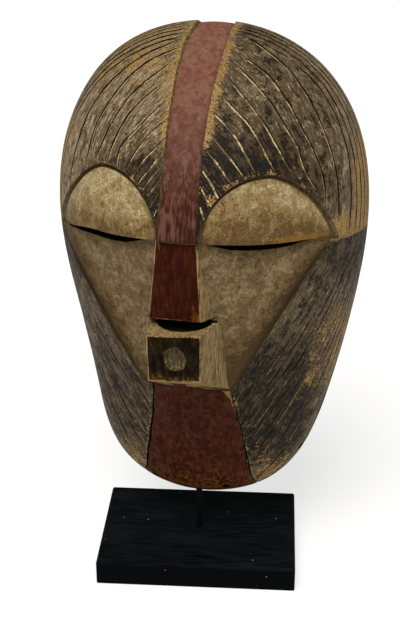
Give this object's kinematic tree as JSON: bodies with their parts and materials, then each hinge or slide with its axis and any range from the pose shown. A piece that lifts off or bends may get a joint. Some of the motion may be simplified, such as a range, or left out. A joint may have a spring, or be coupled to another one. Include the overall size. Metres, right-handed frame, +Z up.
{
  "type": "carved wooden face mask on a stand",
  "caption": "Carved and painted wooden face mask with closed eyes, a square mouth and a banded, grooved forehead, held upright by a rod on a low rectangular base.",
  "frame": {"origin": "centre of the base's underside, on the rod's axis", "axes": "+Z up along the rod, the face looks along -Y and is turned a little towards -X, +X is to the viewer's right"},
  "size_m": [0.2266, 0.1565, 0.4084],
  "materials": {
    "carved_wood": "matt, painted black, white and red and worn to the wood",
    "stained_wood": "black stain, satin",
    "black_steel": "matt black"
  },
  "bodies": {
    "root": {"mask": "carved_wood", "rod": "black_steel", "base": "stained_wood"}
  },
  "joints": []
}
